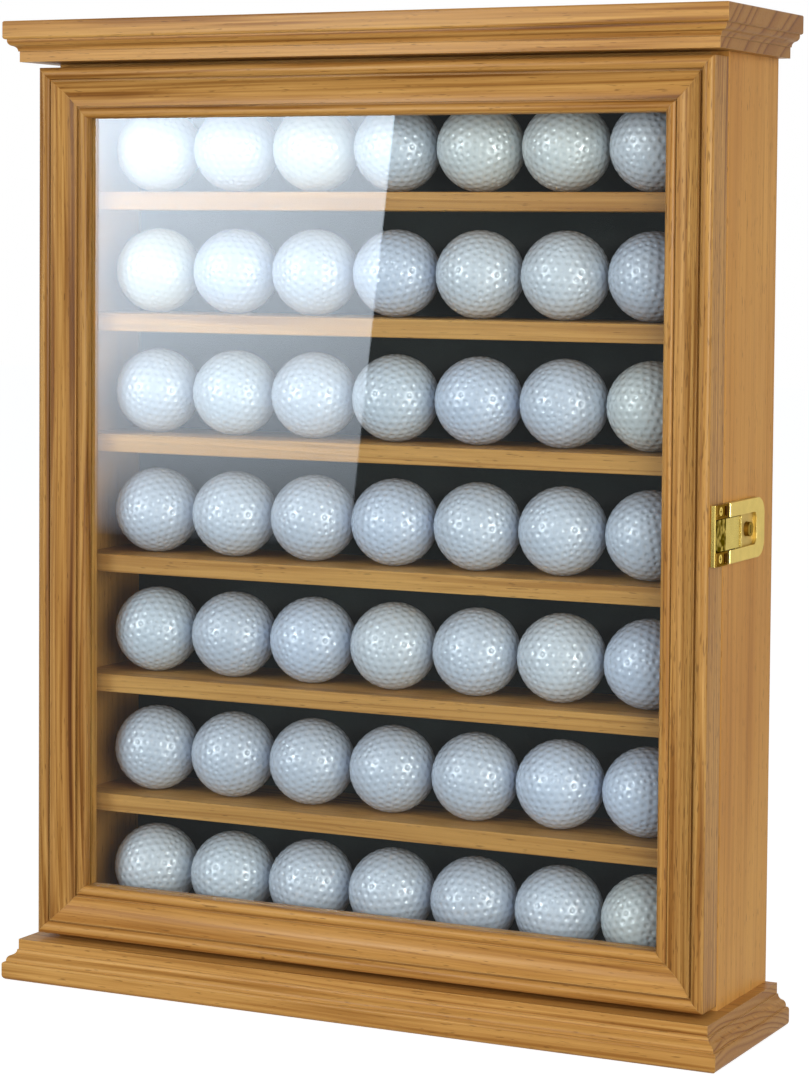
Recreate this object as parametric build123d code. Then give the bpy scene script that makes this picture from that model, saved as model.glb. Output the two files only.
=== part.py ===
from build123d import *
import math
import os

# Wall-hung display case for golf balls, in millimetres.
# Origin: middle of the footprint, on the plane the base stands on.
# +X is the viewer's right, -Y the side the glass door faces, +Z up.

# ---------------------------------------------------------------- balls
ball_diameter = 42.67
balls_per_row = 7
ball_spacing = 44.5
ball_setback = 24.0            # ball centres behind the front edges of the case

# ---------------------------------------------------------------- case box
case_width = 356.0
case_depth = 66.0
side_thickness = 12.0
cap_thickness = 12.0           # top and bottom boards of the box
bay_count = 7
bay_height = 51.5
shelf_thickness = 9.0
shelf_setback = 0.5
dado_depth = 3.0
cap_rabbet = 3.0               # how far the top and bottom boards let into the sides
back_thickness = 5.0
back_rabbet = 6.0
lining_thickness = 1.5
edge_round = 0.6

# ---------------------------------------------------------------- crown and base boards
board_thickness = 20.0
board_side_overhang = 12.0
board_front_overhang = 13.5
fascia_height = 9.0
crown_edge_round = 0.9          # outer edge of the fascia
base_edge_round = 2.4
fascia_ease = 1.2              # where the fascia turns in to the quirk
quirk_depth = 1.6
quirk_height = 0.6
ogee_run = 4.0
ogee_height = 5.2
ogee_bulge = 0.6
fillet_step = 0.6

# ---------------------------------------------------------------- dowels
dowel_diameter = 6.0
dowel_length = 28.0
dowel_in_board = 12.0
dowel_inset = 14.0             # from the front and back edges of a side

# ---------------------------------------------------------------- keyhole slots in the crown
keyhole_bore = 9.0
keyhole_slot = 4.6
keyhole_rise = 5.0
keyhole_depth = 10.0
keyhole_lip = 4.0
keyhole_spacing = 280.0
keyhole_up = 7.0               # bore centre above the crown's underside

# ---------------------------------------------------------------- door
door_gap = 1.5
door_thickness = 19.0
door_clearance = 2.5           # above and below the door
frame_width = 25.0
outer_bead = 6.0
outer_bead_rise = 2.0
groove_width = 0.8
groove_depth = 1.0
cove_outer_drop = 1.4
cove_inner_drop = 5.6
cove_hollow = 1.7
inner_bead = 5.0
inner_bead_shoulder = 1.3      # start of the bead above the front of the lip
lip_drop = 7.5
lip_thickness = 3.0
glass_rabbet = 6.0
glass_thickness = 2.5
glass_clearance = 0.5

stop_round = 2.0               # rounded corner of the beads that hold the glass

# ---------------------------------------------------------------- hinges
hinge_height = 38.0
hinge_inset = 52.0             # hinge end from the end of the door
hinge_leaf = 9.5
leaf_thickness = 1.1
leaf_mortise = 0.5
leaf_screw_offset = 0.6        # screws from the middle of a leaf, away from the knuckles
knuckle_radius = 2.5
knuckle_offset = 2.8           # hinge axis outside the face of the side
knuckle_gap = 0.5              # between the knuckles and the flat of a leaf
knuckle_count = 5
knuckle_play = 0.2
pin_radius = 1.0
pin_play = 0.05
pin_head = 1.0
pin_head_share = 0.8           # of the knuckle's radius

# ---------------------------------------------------------------- wood screws
screw_radius = 1.1
screw_head_radius = 2.2
screw_head_height = 1.1
screw_length = 8.0
screw_point = 1.2
screw_tip_radius = 0.2
screw_recess_depth = 0.5       # of the cross in the head
screw_recess_width = 0.6
screw_recess_length = 2.4

# ---------------------------------------------------------------- latch on the right side
# Setbacks are measured from the front edge of the side, rises from its outer face.
latch_height = 240.0
latch_half = 14.0
latch_reach = 46.5
latch_rise = 3.2
latch_corner = 8.0
latch_edge = 0.4
latch_front_gap = 0.4
recess_half = 7.6
recess_floor = 1.2
recess_end = 35.5
recess_corner = 3.0
plate_screw_setback = 4.3
plate_screw_spacing = 9.2

flap_play = 0.4
flap_rise = 1.5                # underside of the flap
flap_thickness = 1.4
flap_rear = 15.0
flap_lap = 4.0                 # flat of the flap in front of the side
flap_thumb_rise = 0.5
flap_thumb_width = 1.0
flap_pivot = 12.0
flap_axis_rise = 1.3
flap_barrel = 1.5
flap_pin_radius = 0.8
flap_pin_in_rim = 3.0
slot_front = 3.2               # window under the flap, from the flap's axis
slot_rear = 4.2
nose_rise = 2.3
nose_thickness = 0.9
nose_corner = 2.0
nose_gap = 0.8
heel_length = 6.0
heel_half = 4.0
heel_thickness = 0.8
heel_web = 0.9
heel_gap = 0.3                 # under the floor of the recess

lock_setback = 27.0
plug_radius = 3.4
plug_play = 0.08
plug_proud = 0.2
plug_collar = 4.4
collar_length = 1.2
cam_length = 12.5
cam_width = 4.0
cam_thickness = 0.8
cam_gap = 0.4
pocket_half = 13.2
pocket_depth = 6.0             # into the side panel
pocket_front = 4.2             # from the flap's axis
pocket_rear = 5.0              # from the lock's axis
keyway_length = 3.8
keyway_width = 1.0
keyway_depth = 1.2

keeper_thickness = 0.8
keeper_inset = 0.3             # from the back of the door
keeper_front_inset = 3.2       # from the front of the door, clear of its rounded bead
keeper_lip = 1.3
keeper_lip_rise = 2.4
keeper_lip_round = 0.4
boss_rise = 2.8
boss_rim = 0.8
boss_recess = 0.7

# ---------------------------------------------------------------- worked out from the above
ball_radius = ball_diameter / 2
case_height = 2 * cap_thickness + bay_count * bay_height + (bay_count - 1) * shelf_thickness
case_bottom = board_thickness
case_top = case_bottom + case_height
total_height = case_top + board_thickness
half_width = case_width / 2
inner_half = half_width - side_thickness
board_depth = case_depth + door_gap + door_thickness + board_front_overhang
back_y = board_depth / 2
case_front_y = back_y - case_depth
door_back_y = case_front_y - door_gap
door_front_y = door_back_y - door_thickness
inner_back_y = back_y - back_thickness - lining_thickness
door_bottom = case_bottom + door_clearance
door_top = case_top - door_clearance
first_floor = case_bottom + cap_thickness
bay_pitch = bay_height + shelf_thickness
hinge_x = -half_width - knuckle_offset
hinge_y = (case_front_y + door_back_y) / 2
latch_face = half_width + latch_rise
latch_low = latch_height - latch_half
latch_high = latch_height + latch_half
recess_low = latch_height - recess_half
recess_high = latch_height + recess_half
flap_axis_x = half_width + flap_axis_rise
flap_axis_y = case_front_y + flap_pivot
lock_y = case_front_y + lock_setback
heel_low = half_width - heel_gap - heel_thickness
cam_top = heel_low - cam_gap
keeper_y = door_front_y + keeper_front_inset


def bay_floor(bay):
    """Height of the floor of a bay; bay 1 is the top one."""
    return first_floor + (bay_count - bay) * bay_pitch


def block(x0, x1, y0, y1, z0, z1):
    """A box given by its two corners."""
    size = Box(x1 - x0, y1 - y0, z1 - z0)
    return Pos((x0 + x1) / 2, (y0 + y1) / 2, (z0 + z1) / 2) * size


def rod_x(radius, x0, x1, y, z):
    """A round rod along X."""
    return Pos((x0 + x1) / 2, y, z) * Rot(0, 90, 0) * Cylinder(radius, x1 - x0)


def rod_y(radius, y0, y1, x, z):
    """A round rod along Y."""
    return Pos(x, (y0 + y1) / 2, z) * Rot(90, 0, 0) * Cylinder(radius, y1 - y0)


def rod_z(radius, z0, z1, x, y):
    """A round rod along Z."""
    return Pos(x, y, (z0 + z1) / 2) * Cylinder(radius, z1 - z0)


def save(name, *solids):
    """Write one named piece, or a group of like pieces, to its own STEP file."""
    shape = solids[0] if len(solids) == 1 else Compound(children=list(solids))
    shape.label = name
    export_step(shape, os.path.join("parts", name + ".step"))


# ---------------------------------------------------------------- crown and base
def moulded_outline(half_length, edge, both_ends):
    """Section of a routed board, fascia up, with the moulding on one end or on both.

    The moulding runs from the rounded fascia through a quirk and an ogee to a plain fillet;
    edge is the radius of the fascia's outer edge.
    """
    top = board_thickness
    quirk_z = top - fascia_height
    ogee_top = quirk_z - quirk_height
    ogee_foot = ogee_top - ogee_height
    ogee_end = quirk_depth + ogee_run
    inset = ogee_end + fillet_step
    middle = ((quirk_depth + ogee_end) / 2, (ogee_top + ogee_foot) / 2)
    slope = math.hypot(ogee_run, ogee_height)
    lean = (ogee_height / slope * ogee_bulge, ogee_run / slope * ogee_bulge)

    def end(side):
        """One moulded end, drawn from the top face down to the underside."""
        def at(u, z):
            return (side * (half_length - u), z)
        upper = ((quirk_depth + middle[0]) / 2 - lean[0], (ogee_top + middle[1]) / 2 - lean[1])
        lower = ((middle[0] + ogee_end) / 2 + lean[0], (middle[1] + ogee_foot) / 2 + lean[1])
        corner = edge * (1 - math.sqrt(0.5))
        ease = fascia_ease * (1 - math.sqrt(0.5))
        return [
            ThreePointArc(at(edge, top), at(corner, top - corner), at(0, top - edge)),
            Line(at(0, top - edge), at(0, quirk_z + fascia_ease)),
            ThreePointArc(at(0, quirk_z + fascia_ease), at(ease, quirk_z + ease), at(fascia_ease, quirk_z)),
            Line(at(fascia_ease, quirk_z), at(quirk_depth, quirk_z)),
            Line(at(quirk_depth, quirk_z), at(quirk_depth, ogee_top)),
            ThreePointArc(at(quirk_depth, ogee_top), at(*upper), at(*middle)),
            ThreePointArc(at(*middle), at(*lower), at(ogee_end, ogee_foot)),
            Line(at(ogee_end, ogee_foot), at(inset, ogee_foot)),
            Line(at(inset, ogee_foot), at(inset, 0)),
        ], at(edge, top), at(inset, 0)

    right, right_top, right_foot = end(1)
    if both_ends:
        left, left_top, left_foot = end(-1)
        closing = [Line(left_top, right_top), Line(left_foot, right_foot)]
    else:
        left = [Line((-half_length, 0), (-half_length, top))]
        closing = [Line((-half_length, top), right_top), Line((-half_length, 0), right_foot)]
    return make_face(right + left + closing)


def moulded_board(edge):
    """A board moulded on the front and both ends, standing on z = 0 with its fascia up."""
    half_board = half_width + board_side_overhang
    across = extrude(Plane.XZ * moulded_outline(half_board, edge, True), board_depth, both=True)
    # seen from the right end, the front moulding is at -Y and the back is cut square
    section = Plane.YZ * mirror(moulded_outline(board_depth / 2, edge, False), Plane.YZ)
    along = extrude(section, half_board + 1, both=True)
    return (across & along).solid()


def keyhole(x):
    """A keyhole slot for a wall screw, routed into the back edge of the crown."""
    z = case_top + keyhole_up
    lip_y = back_y - keyhole_lip
    deep_y = back_y - keyhole_depth
    bore = rod_y(keyhole_bore / 2, deep_y, back_y, x, z)
    neck_half = keyhole_slot / 2
    neck = block(x - neck_half, x + neck_half, deep_y, back_y, z, z + keyhole_rise)
    neck += rod_y(neck_half, deep_y, back_y, x, z + keyhole_rise)
    wide = block(x - keyhole_bore / 2, x + keyhole_bore / 2, deep_y, lip_y, z, z + keyhole_rise)
    wide += rod_y(keyhole_bore / 2, deep_y, lip_y, x, z + keyhole_rise)
    return bore + neck + wide


def dowel_places():
    """Plan positions of the dowels: two in the end of each side."""
    x = half_width - (side_thickness - cap_rabbet) / 2
    ys = (case_front_y + dowel_inset, back_y - dowel_inset)
    return [(side * x, y) for side in (-1, 1) for y in ys]


def dowels():
    """Beech dowels that pin the crown and the base to the sides."""
    pins = []
    for x, y in dowel_places():
        for joint_z, sign in ((case_bottom, -1), (case_top, 1)):
            outer = joint_z + sign * dowel_in_board
            inner = joint_z - sign * (dowel_length - dowel_in_board)
            pins.append(rod_z(dowel_diameter / 2, min(outer, inner), max(outer, inner), x, y))
    return pins


def crown_board(pins):
    """Top board with its moulded edges, dowel holes and two keyhole slots."""
    board = Pos(0, 0, case_top) * moulded_board(crown_edge_round)
    for x in (-keyhole_spacing / 2, keyhole_spacing / 2):
        board -= keyhole(x)
    for pin in pins:
        board -= pin
    return board.solid()


def base_board(pins):
    """Bottom board: the same moulding turned upside down."""
    board = Pos(0, 0, board_thickness) * mirror(moulded_board(base_edge_round), Plane.XY)
    for pin in pins:
        board -= pin
    return board.solid()


# ---------------------------------------------------------------- case box
def side_panel(side, cuts):
    """A side with shelf dadoes, rabbets for the caps and the back, and eased front edges."""
    inner = side * inner_half
    outer = side * half_width
    panel = block(min(inner, outer), max(inner, outer), case_front_y, back_y, case_bottom, case_top)
    front = panel.edges().filter_by(Axis.Z).sort_by(Axis.Y)[:2]
    panel = fillet(front, edge_round)
    dado_x = side * (inner_half + dado_depth)
    for bay in range(1, bay_count):
        top = bay_floor(bay)
        panel -= block(min(inner, dado_x), max(inner, dado_x), case_front_y + shelf_setback, back_y,
                       top - shelf_thickness, top)
    cap_x = side * (inner_half + cap_rabbet)
    for low, high in ((case_bottom, first_floor), (case_top - cap_thickness, case_top)):
        panel -= block(min(inner, cap_x), max(inner, cap_x), case_front_y - 1, back_y, low, high)
    back_x = side * (inner_half + back_rabbet)
    panel -= block(min(inner, back_x), max(inner, back_x), back_y - back_thickness, back_y,
                   case_bottom, case_top)
    for cut in cuts:
        panel -= cut
    return panel.solid()


def cap_board(low):
    """Plain board that closes the top or the bottom of the box."""
    half = inner_half + cap_rabbet
    board = block(-half, half, case_front_y, back_y - back_thickness, low, low + cap_thickness)
    return board


def back_panel():
    """Thin back, let into rabbets in the sides and flush with their back edges."""
    half = inner_half + back_rabbet
    return block(-half, half, back_y - back_thickness, back_y, case_bottom, case_top)


def back_lining():
    """Felt-covered card in front of the back panel, seen between the balls."""
    return block(-inner_half, inner_half, inner_back_y, back_y - back_thickness,
                 first_floor, case_top - cap_thickness)


def shelf(bay):
    """The shelf under a bay, housed in the dadoes, with eased front edges."""
    half = inner_half + dado_depth
    top = bay_floor(bay)
    board = block(-half, half, case_front_y + shelf_setback, inner_back_y, top - shelf_thickness, top)
    front = board.edges().filter_by(Axis.X).sort_by(Axis.Y)[:2]
    return fillet(front, edge_round).solid()


def ball_row(bay):
    """A row of balls on the floor of a bay."""
    first = -(balls_per_row - 1) / 2 * ball_spacing
    y = case_front_y + ball_setback
    z = bay_floor(bay) + ball_radius
    return [Pos(first + n * ball_spacing, y, z) * Sphere(ball_radius) for n in range(balls_per_row)]


# ---------------------------------------------------------------- door
def frame_section():
    """Section of the door moulding: first number inward from the outer edge, second towards the front."""
    front = door_thickness
    bead_end = outer_bead
    cove_start = bead_end + groove_width
    bead_start = frame_width - inner_bead
    cove_end = bead_start - groove_width
    groove_floor = front - outer_bead_rise - groove_width
    cove_high = front - cove_outer_drop
    cove_low = front - cove_inner_drop
    lip_front = front - lip_drop
    lip_back = lip_front - lip_thickness
    # the inner bead meets the lip squarely, so its centre is level with the front of the lip
    bead_radius = (inner_bead ** 2 + inner_bead_shoulder ** 2) / (2 * inner_bead)
    shoulder = lip_front + inner_bead_shoulder
    inner_floor = cove_low - groove_depth
    cove_middle = ((cove_start + cove_end) / 2, (cove_high + cove_low) / 2 - cove_hollow)
    rabbet = frame_width - glass_rabbet
    return make_face([
        Line((0, 0), (0, front - outer_bead_rise)),
        ThreePointArc((0, front - outer_bead_rise), (bead_end / 2, front),
                      (bead_end, front - outer_bead_rise)),
        Line((bead_end, front - outer_bead_rise), (bead_end, groove_floor)),
        Line((bead_end, groove_floor), (cove_start, groove_floor)),
        Line((cove_start, groove_floor), (cove_start, cove_high)),
        ThreePointArc((cove_start, cove_high), cove_middle, (cove_end, cove_low)),
        Line((cove_end, cove_low), (cove_end, inner_floor)),
        Line((cove_end, inner_floor), (bead_start, inner_floor)),
        Line((bead_start, inner_floor), (bead_start, shoulder)),
        ThreePointArc((bead_start, shoulder), (frame_width - bead_radius, lip_front + bead_radius),
                      (frame_width, lip_front)),
        Line((frame_width, lip_front), (frame_width, lip_back)),
        Line((frame_width, lip_back), (rabbet, lip_back)),
        Line((rabbet, lip_back), (rabbet, 0)),
        Line((rabbet, 0), (0, 0)),
    ])


def mitred_member(section, length):
    """A length of moulding along X with both ends mitred; its outer edge is on y = 0."""
    bar = extrude(Plane.YZ * section, length / 2, both=True)
    for side in (-1, 1):
        mitre = Plane((side * length / 2, 0, 0), x_dir=(0, 0, 1), z_dir=(side, 1, 0))
        bar = split(bar, mitre, keep=Keep.BOTTOM)
    return bar.solid()


def around_door(section, inset, rear_y):
    """Four mitred members round the door: bottom, top, left and right."""
    low = door_bottom + inset
    high = door_top - inset
    half = half_width - inset
    # local x along the member, local y towards the middle of the door, local z towards the front
    rail = mitred_member(section, 2 * half)
    stile = mitred_member(section, high - low)
    bottom = Plane((0, rear_y, low), x_dir=(1, 0, 0), z_dir=(0, -1, 0)) * rail
    top = Plane((0, rear_y, high), x_dir=(-1, 0, 0), z_dir=(0, -1, 0)) * rail
    left = Plane((-half, rear_y, (low + high) / 2), x_dir=(0, 0, -1), z_dir=(0, -1, 0)) * stile
    right = Plane((half, rear_y, (low + high) / 2), x_dir=(0, 0, 1), z_dir=(0, -1, 0)) * stile
    return bottom, top, left, right


def stop_section():
    """Section of the beads that hold the glass: a square strip with one rounded corner."""
    height = door_thickness - lip_drop - lip_thickness - glass_thickness
    strip = Pos(glass_rabbet / 2, height / 2) * Rectangle(glass_rabbet, height)
    corner = strip.vertices().sort_by(Axis.X)[-2:].sort_by(Axis.Y)[0]
    return fillet(corner, stop_round).face()


def glass_pane():
    """Flat pane against the lip of the door frame."""
    half = half_width - frame_width + glass_rabbet - glass_clearance
    low = door_bottom + frame_width - glass_rabbet + glass_clearance
    high = door_top - frame_width + glass_rabbet - glass_clearance
    front = door_front_y + lip_drop + lip_thickness
    return block(-half, half, front, front + glass_thickness, low, high)


# ---------------------------------------------------------------- screws
def screw_body():
    """A countersunk screw without its recess, its head's face on z = 0 and its point upwards."""
    shank_length = screw_length - screw_head_height
    head = Pos(0, 0, screw_head_height / 2) * Cone(screw_head_radius, screw_radius, screw_head_height)
    shank = Pos(0, 0, screw_head_height + shank_length / 2) * Cylinder(screw_radius, shank_length)
    point = Pos(0, 0, screw_length + screw_point / 2) * Cone(screw_radius, screw_tip_radius, screw_point)
    return head + shank + point


def screw(head_at, into):
    """A cross-head wood screw with its head's face at head_at and its point towards into."""
    body = screw_body()
    for turn in (0, 90):
        arm = Box(screw_recess_length, screw_recess_width, 2 * screw_recess_depth)
        body -= Rot(0, 0, turn) * arm
    return (Plane(head_at, z_dir=into) * body).solid()


def screw_space(head_at, into):
    """The hole that a screw fills."""
    return Plane(head_at, z_dir=into) * screw_body()


# ---------------------------------------------------------------- hinges
def hinge_centres():
    """Heights of the middles of the two hinges."""
    reach = hinge_inset + hinge_height / 2
    return (door_bottom + reach, door_top - reach)


def hinge_screw_heights(centre):
    return (centre - hinge_height / 3, centre + hinge_height / 3)


def hinge_leaf_solid(centre, on_door):
    """One leaf with its share of the knuckles, bored for the pin."""
    low = centre - hinge_height / 2
    high = centre + hinge_height / 2
    if on_door:
        y0, y1 = door_back_y - leaf_mortise, door_back_y - leaf_mortise + leaf_thickness
    else:
        y0, y1 = case_front_y + leaf_mortise - leaf_thickness, case_front_y + leaf_mortise
    plate_start = hinge_x + knuckle_radius + knuckle_gap
    leaf = block(plate_start, -half_width + hinge_leaf, y0, y1, low, high)
    pitch = hinge_height / knuckle_count
    for n in range(1 if on_door else 0, knuckle_count, 2):
        z0 = low + n * pitch + knuckle_play / 2
        z1 = low + (n + 1) * pitch - knuckle_play / 2
        leaf += rod_z(knuckle_radius, z0, z1, hinge_x, hinge_y)
        leaf += block(hinge_x, plate_start + knuckle_gap, y0, y1, z0, z1)
    leaf -= rod_z(pin_radius + pin_play, low - 1, high + 1, hinge_x, hinge_y)
    for space in hinge_screw_spaces(centre, on_door):
        leaf -= space
    return leaf.solid()


def hinge_screw_ends(centre, on_door):
    """Where the heads of the two screws of a leaf lie, and which way they point."""
    x = -half_width + hinge_leaf / 2 + leaf_screw_offset
    if on_door:
        y, into = door_back_y - leaf_mortise + leaf_thickness, (0, -1, 0)
    else:
        y, into = case_front_y + leaf_mortise - leaf_thickness, (0, 1, 0)
    return [((x, y, z), into) for z in hinge_screw_heights(centre)]


def hinge_screw_spaces(centre, on_door):
    return [screw_space(*end) for end in hinge_screw_ends(centre, on_door)]


def leaf_mortise_space(centre, on_door):
    """The shallow seat cut into the wood for a leaf."""
    if on_door:
        y0, y1 = door_back_y - leaf_mortise, door_back_y
    else:
        y0, y1 = case_front_y, case_front_y + leaf_mortise
    return block(-half_width - 1, -half_width + hinge_leaf, y0, y1,
                 centre - hinge_height / 2, centre + hinge_height / 2)


def hinge_pin(centre):
    """The pin, with a small head at each end."""
    low = centre - hinge_height / 2
    high = centre + hinge_height / 2
    pin = rod_z(pin_radius, low - pin_head, high + pin_head, hinge_x, hinge_y)
    head_radius = knuckle_radius * pin_head_share
    pin += rod_z(head_radius, high + knuckle_play, high + pin_head, hinge_x, hinge_y)
    pin += rod_z(head_radius, low - pin_head, low - knuckle_play, hinge_x, hinge_y)
    return pin.solid()


# ---------------------------------------------------------------- latch
def latch_screw_ends():
    """Screws of the latch plate, in the floor of its recess, where the closed flap hides them."""
    y = case_front_y + plate_screw_setback
    x = half_width + recess_floor
    return [((x, y, latch_height + s * plate_screw_spacing / 2), (-1, 0, 0)) for s in (-1, 1)]


def keeper_screw_ends():
    """Screws of the keeper, sunk in its two bosses."""
    y = (keeper_y + keeper_lip + door_back_y - keeper_inset) / 2
    x = half_width + boss_rise - boss_recess
    z = (recess_half + latch_half) / 2
    return [((x, y, latch_height + s * z), (-1, 0, 0)) for s in (-1, 1)]


def latch_pocket():
    """The space cut into the side behind the latch plate, where the flap's heel and the cam move."""
    return block(half_width - pocket_depth, half_width, flap_axis_y - pocket_front, lock_y + pocket_rear,
                 latch_height - pocket_half, latch_height + pocket_half)


def latch_plate():
    """Brass plate on the side: a raised rim round a recess that is open at the front."""
    front = case_front_y + latch_front_gap
    plate = block(half_width, latch_face, front, case_front_y + latch_reach, latch_low, latch_high)
    plate = fillet(plate.edges().filter_by(Axis.X).group_by(Axis.Y)[-1], latch_corner)
    plate = chamfer(plate.faces().sort_by(Axis.X)[-1].edges(), latch_edge)
    recess = block(half_width + recess_floor, latch_face + 1, front - 1, case_front_y + recess_end,
                   recess_low, recess_high)
    plate -= fillet(recess.edges().filter_by(Axis.X).group_by(Axis.Y)[-1], recess_corner)
    # a window under the flap lets its barrel and heel turn
    plate -= block(half_width - 1, half_width + recess_floor + 1,
                   flap_axis_y - slot_front, flap_axis_y + slot_rear, recess_low, recess_high)
    plate += rod_x(plug_collar, half_width - collar_length, half_width, lock_y, latch_height)
    plate -= rod_x(plug_radius + plug_play, half_width - pocket_depth, latch_face + 1, lock_y, latch_height)
    plate -= flap_pin()
    for end in latch_screw_ends():
        plate -= screw_space(*end)
    return plate.solid()


def flap_pin():
    """The pin the flap swings on, with its ends in the rim of the plate."""
    return rod_z(flap_pin_radius, recess_low - flap_pin_in_rim, recess_high + flap_pin_in_rim,
                 flap_axis_x, flap_axis_y)


def latch_flap():
    """The flap: a flat for the thumb, a hooked nose over the keeper, a barrel and a heel behind it."""
    under = half_width + flap_rise
    over = under + flap_thickness
    front = case_front_y - flap_lap
    rear = case_front_y + flap_rear
    low = recess_low + flap_play
    high = recess_high - flap_play
    tip = keeper_y + keeper_lip + nose_gap
    nose_top = half_width + nose_rise
    nose = make_face(Polyline((over, front), (nose_top, tip), (nose_top - nose_thickness, tip),
                              (under, front), close=True))
    nose = Pos(0, 0, low) * extrude(nose, high - low)
    nose = fillet(nose.edges().group_by(Axis.Y)[0].filter_by(Axis.X), nose_corner)
    flap = block(under, over, front, rear, low, high) + nose
    flap += block(over, over + flap_thumb_rise, rear - flap_thumb_width, rear, low, high)
    flap += rod_z(flap_barrel, low, high, flap_axis_x, flap_axis_y)
    flap += block(heel_low, flap_axis_x, flap_axis_y, flap_axis_y + heel_web,
                  latch_height - heel_half, latch_height + heel_half)
    flap += block(heel_low, heel_low + heel_thickness, flap_axis_y, flap_axis_y + heel_length,
                  latch_height - heel_half, latch_height + heel_half)
    flap -= rod_z(flap_pin_radius + pin_play, low - 1, high + 1, flap_axis_x, flap_axis_y)
    return flap.solid()


def lock_cylinder():
    """Key plug with its keyway and, at the inner end, the cam that blocks the flap's heel."""
    face = latch_face + plug_proud
    plug = rod_x(plug_radius, cam_top - cam_thickness, face, lock_y, latch_height)
    plug += block(cam_top - cam_thickness, cam_top, lock_y - cam_width / 2, lock_y + cam_width / 2,
                  latch_height, latch_height + cam_length)
    plug -= block(face - keyway_depth, face + 1, lock_y - keyway_width / 2, lock_y + keyway_width / 2,
                  latch_height - keyway_length / 2, latch_height + keyway_length / 2)
    return plug.solid()


def keeper():
    """Strike on the edge of the door: two sunk screw bosses and a front lip, with a channel between."""
    y1 = door_back_y - keeper_inset
    strike = block(half_width, half_width + keeper_thickness, keeper_y, y1, latch_low, latch_high)
    boss_y = keeper_y + keeper_lip
    boss_face = half_width + boss_rise
    for low, high in ((latch_low, recess_low), (recess_high, latch_high)):
        strike += block(half_width, boss_face, boss_y, y1, low, high)
        strike -= block(boss_face - boss_recess, boss_face + 1, boss_y + boss_rim, y1 - boss_rim,
                        low + boss_rim, high - boss_rim)
    lip = block(half_width, half_width + keeper_lip_rise, keeper_y, boss_y, latch_low, latch_high)
    strike += fillet(lip.edges().filter_by(Axis.Z).sort_by(Axis.X)[-2:], keeper_lip_round)
    for end in keeper_screw_ends():
        strike -= screw_space(*end)
    return strike.solid()


# ---------------------------------------------------------------- build
def build_case():
    """Everything that stays still: box, crown, base, lining and balls."""
    pins = dowels()
    save("crown_board", crown_board(pins))
    save("base_board", base_board(pins))
    save("carcass_dowels", *pins)
    left_cuts = list(pins)
    for centre in hinge_centres():
        left_cuts.append(leaf_mortise_space(centre, False))
        left_cuts += hinge_screw_spaces(centre, False)
    right_cuts = pins + [latch_pocket()] + [screw_space(*end) for end in latch_screw_ends()]
    save("left_side_panel", side_panel(-1, left_cuts))
    save("right_side_panel", side_panel(1, right_cuts))
    save("case_top_board", cap_board(case_top - cap_thickness))
    save("case_bottom_board", cap_board(case_bottom))
    save("back_panel", back_panel())
    save("back_lining", back_lining())
    for bay in range(1, bay_count):
        save(f"shelf_{bay}", shelf(bay))
    for bay in range(1, bay_count + 1):
        save(f"golf_balls_row_{bay}", *ball_row(bay))


def build_door():
    """The glazed door: four mitred mouldings, the pane and its beads."""
    bottom, top, left, right = around_door(frame_section(), 0, door_back_y)
    for centre in hinge_centres():
        left -= leaf_mortise_space(centre, True)
        for space in hinge_screw_spaces(centre, True):
            left -= space
    for end in keeper_screw_ends():
        right -= screw_space(*end)
    save("door_bottom_rail", bottom)
    save("door_top_rail", top)
    save("door_left_stile", left.solid())
    save("door_right_stile", right.solid())
    save("glass_pane", glass_pane())
    beads = around_door(stop_section(), frame_width - glass_rabbet, door_back_y)
    for name, bead in zip(("bottom", "top", "left", "right"), beads):
        save(f"glass_bead_{name}", bead)


def build_hinges():
    """Two brass butt hinges between the left side and the door."""
    centres = hinge_centres()
    save("hinge_case_leaves", *[hinge_leaf_solid(centre, False) for centre in centres])
    save("hinge_door_leaves", *[hinge_leaf_solid(centre, True) for centre in centres])
    save("hinge_pins", *[hinge_pin(centre) for centre in centres])
    for name, on_door in (("hinge_case_screws", False), ("hinge_door_screws", True)):
        ends = [end for centre in centres for end in hinge_screw_ends(centre, on_door)]
        save(name, *[screw(*end) for end in ends])


def build_latch():
    """The keyed brass latch on the right side and its keeper on the door."""
    save("latch_plate", latch_plate())
    save("latch_plate_screws", *[screw(*end) for end in latch_screw_ends()])
    save("latch_flap", latch_flap())
    save("latch_flap_pin", flap_pin())
    save("lock_cylinder", lock_cylinder())
    save("latch_keeper", keeper())
    save("keeper_screws", *[screw(*end) for end in keeper_screw_ends()])


os.makedirs("parts", exist_ok=True)
build_case()
build_door()
build_hinges()
build_latch()
print(f"overall height {total_height:.1f}, width {case_width + 2 * board_side_overhang:.1f}, "
      f"depth {board_depth:.1f}")
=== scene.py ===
import math
import random

import bmesh
import bpy
from mathutils import Matrix, Vector


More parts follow.
